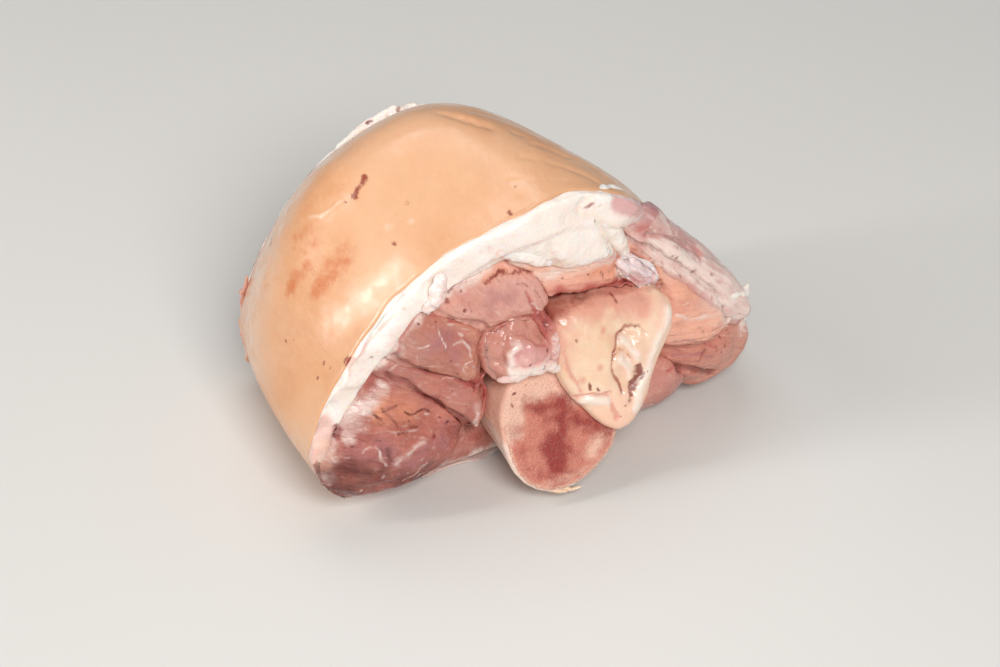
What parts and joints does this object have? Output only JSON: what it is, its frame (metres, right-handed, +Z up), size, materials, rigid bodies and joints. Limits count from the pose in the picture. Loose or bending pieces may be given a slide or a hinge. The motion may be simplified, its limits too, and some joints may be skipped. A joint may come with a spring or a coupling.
{
  "type": "raw pork hock",
  "caption": "Thick joint-end slice of raw pork leg lying on its side, with rind and fat wrapped round the meat and two bone ends standing out of the cut face.",
  "frame": {"origin": "on the resting surface, under the middle of the hock's bounding box", "axes": "+Z up; +X along the hock's longest extent, to the right of a viewer who faces the near cut from the front; the near cut faces towards -Y, turned 26 degrees towards +X"},
  "size_m": [0.1718, 0.1258, 0.1159],
  "materials": {
    "rind": "moist smooth pork skin, peach to orange-beige, with a broad wet gloss and small brown-red blood stains",
    "marrow_bone": "sawn spongy bone full of red-pink marrow inside a pale rim, with a smooth white gristle side",
    "bone": "fresh wet bone and joint surface, cream to ivory with a pinkish gloss",
    "gristle": "pearly, slightly see-through white gristle with a wet gloss",
    "fat": "soft white back fat, glossy and slightly lumpy",
    "muscle": "raw pink-mauve pork muscle with fine fibres, dark seams and a moist sheen",
    "fascia_muscle": "raw muscle under a thin milky skin of fascia",
    "connective_tissue": "soft pinkish-white connective tissue between the muscles, stained with blood"
  },
  "bodies": {
    "root": {"rind": "rind", "sawn_bone": "marrow_bone", "shank_bone": "bone", "joint_cartilage": "gristle", "fat_layer": "fat", "tendon": "gristle", "lower_left_muscle": "muscle", "wedge_muscle": "muscle", "middle_muscle": "muscle", "right_muscle": "muscle", "under_muscle": "muscle", "flank_muscle": "fascia_muscle", "upper_muscle": "muscle", "band_muscle": "muscle", "connective_tissue": "connective_tissue"}
  },
  "joints": []
}
